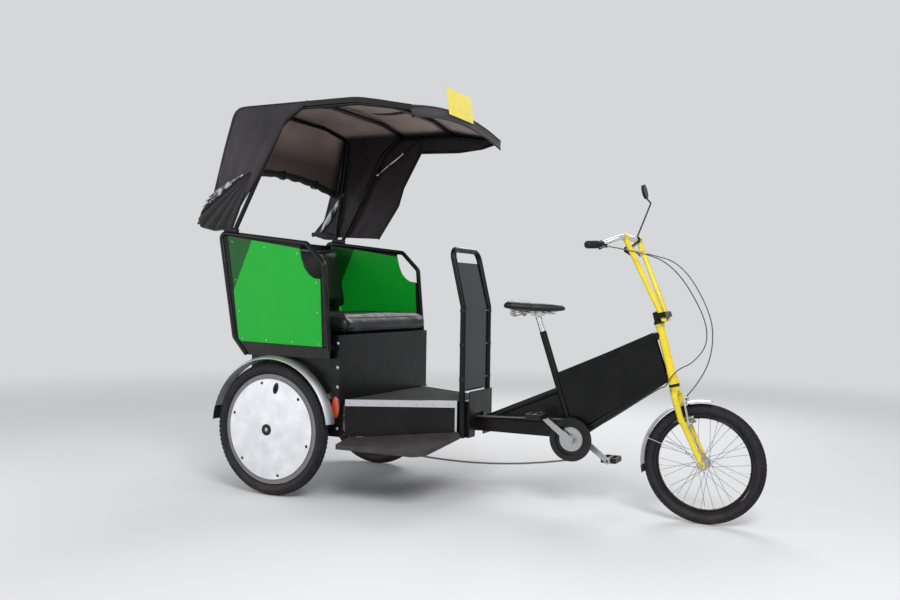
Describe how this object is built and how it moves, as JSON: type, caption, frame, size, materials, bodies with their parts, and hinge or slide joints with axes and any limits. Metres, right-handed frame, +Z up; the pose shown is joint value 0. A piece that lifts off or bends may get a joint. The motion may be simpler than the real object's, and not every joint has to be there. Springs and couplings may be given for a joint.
{
  "type": "cycle rickshaw",
  "caption": "Pedal rickshaw with a steered front wheel, rider's saddle and a hooded passenger bench over the rear axle.",
  "frame": {"origin": "on the ground, at the middle of the whole vehicle's footprint box", "axes": "+X forward, towards the front wheel; +Y to the rider's left; +Z up"},
  "size_m": [2.62, 1.036, 1.9229],
  "materials": {
    "black_enamel": "gloss",
    "yellow_enamel": "gloss",
    "black_plastic": "matte",
    "black_vinyl": "satin",
    "polished_steel": "polished",
    "chain_steel": "oiled",
    "bare_aluminium": "brushed",
    "grit_tread": "rough",
    "green_enamel": "gloss",
    "black_rubber": "matte",
    "orange_lens": "gloss",
    "red_lens": "gloss",
    "canopy_cloth": "matte",
    "cable_grey": "satin",
    "bright_steel": "satin",
    "mirror_glass": "polished",
    "tyre_rubber": "matte",
    "grey_enamel": "satin",
    "white_plastic": "gloss"
  },
  "bodies": {
    "frame": {"main_frame": "black_enamel", "head_tube": "yellow_enamel", "headset": "black_plastic", "frame_panel": "black_enamel", "saddle": "black_vinyl", "seat_post": "polished_steel", "chain": "chain_steel", "differential": "black_enamel", "chassis": "black_enamel", "step_brackets": "black_enamel", "floor_pan": "black_enamel", "floor_trim": "bare_aluminium", "steps": "grit_tread", "seat_box": "black_enamel", "seat_cushion": "black_vinyl", "back_cushion": "black_vinyl", "back_panel": "black_enamel", "side_panels": "green_enamel", "side_frame_right": "black_enamel", "side_frame_left": "black_enamel", "mudguard_right": "polished_steel", "mudguard_left": "polished_steel", "mudflaps": "black_rubber", "reflectors": "orange_lens", "rear_lamps": "red_lens", "canopy_frame": "black_enamel", "canopy_cover": "canopy_cloth", "sign_plate": "yellow_enamel", "grab_hoop": "black_enamel", "hoop_panel": "black_plastic", "rear_cable": "cable_grey"},
    "steering": {"fork": "yellow_enamel", "front_axle": "bright_steel", "stem": "black_enamel", "risers": "yellow_enamel", "handlebar": "polished_steel", "grips": "black_rubber", "brake_levers": "black_plastic", "mirror": "mirror_glass", "front_brake": "bare_aluminium", "front_mudguard": "polished_steel", "front_mudflap": "black_rubber", "front_cable": "cable_grey", "rear_cable_front": "cable_grey"},
    "front_wheel": {"front_tyre": "tyre_rubber", "front_rim": "black_enamel", "front_hub": "polished_steel"},
    "rear_wheel_right": {"rear_tyre_right": "tyre_rubber", "rear_rim_right": "grey_enamel", "rear_hub_right": "polished_steel", "rear_cover_right": "white_plastic"},
    "rear_wheel_left": {"rear_tyre_left": "tyre_rubber", "rear_rim_left": "grey_enamel", "rear_hub_left": "polished_steel", "rear_cover_left": "white_plastic"},
    "crank": {"crankset": "bright_steel", "chainring": "black_plastic"},
    "pedal_right": {"pedal_right": "black_plastic"},
    "pedal_left": {"pedal_left": "black_plastic"}
  },
  "joints": [
    {"name": "steering", "type": "hinge", "parent": "frame", "child": "steering", "pos_m": [0.925, 0, 0.584], "axis": [-0.2504, 0, 0.9681], "range_deg": [-45, 45]},
    {"name": "front_wheel_roll", "type": "hinge", "parent": "steering", "child": "front_wheel", "pos_m": [1.056, 0, 0.254], "axis": [0, 1, 0], "continuous": true},
    {"name": "rear_wheel_right_roll", "type": "hinge", "parent": "frame", "child": "rear_wheel_right", "pos_m": [-0.844, -0.474, 0.311], "axis": [0, 1, 0], "continuous": true},
    {"name": "rear_wheel_left_roll", "type": "hinge", "parent": "frame", "child": "rear_wheel_left", "pos_m": [-0.844, 0.474, 0.311], "axis": [0, 1, 0], "continuous": true},
    {"name": "crank_turn", "type": "hinge", "parent": "frame", "child": "crank", "pos_m": [0.481, 0, 0.315], "axis": [0, 1, 0], "continuous": true},
    {"name": "pedal_right_turn", "type": "hinge", "parent": "crank", "child": "pedal_right", "pos_m": [0.34523, -0.1, 0.41731], "axis": [0, 1, 0], "continuous": true},
    {"name": "pedal_left_turn", "type": "hinge", "parent": "crank", "child": "pedal_left", "pos_m": [0.61677, 0.1, 0.21269], "axis": [0, 1, 0], "continuous": true}
  ]
}
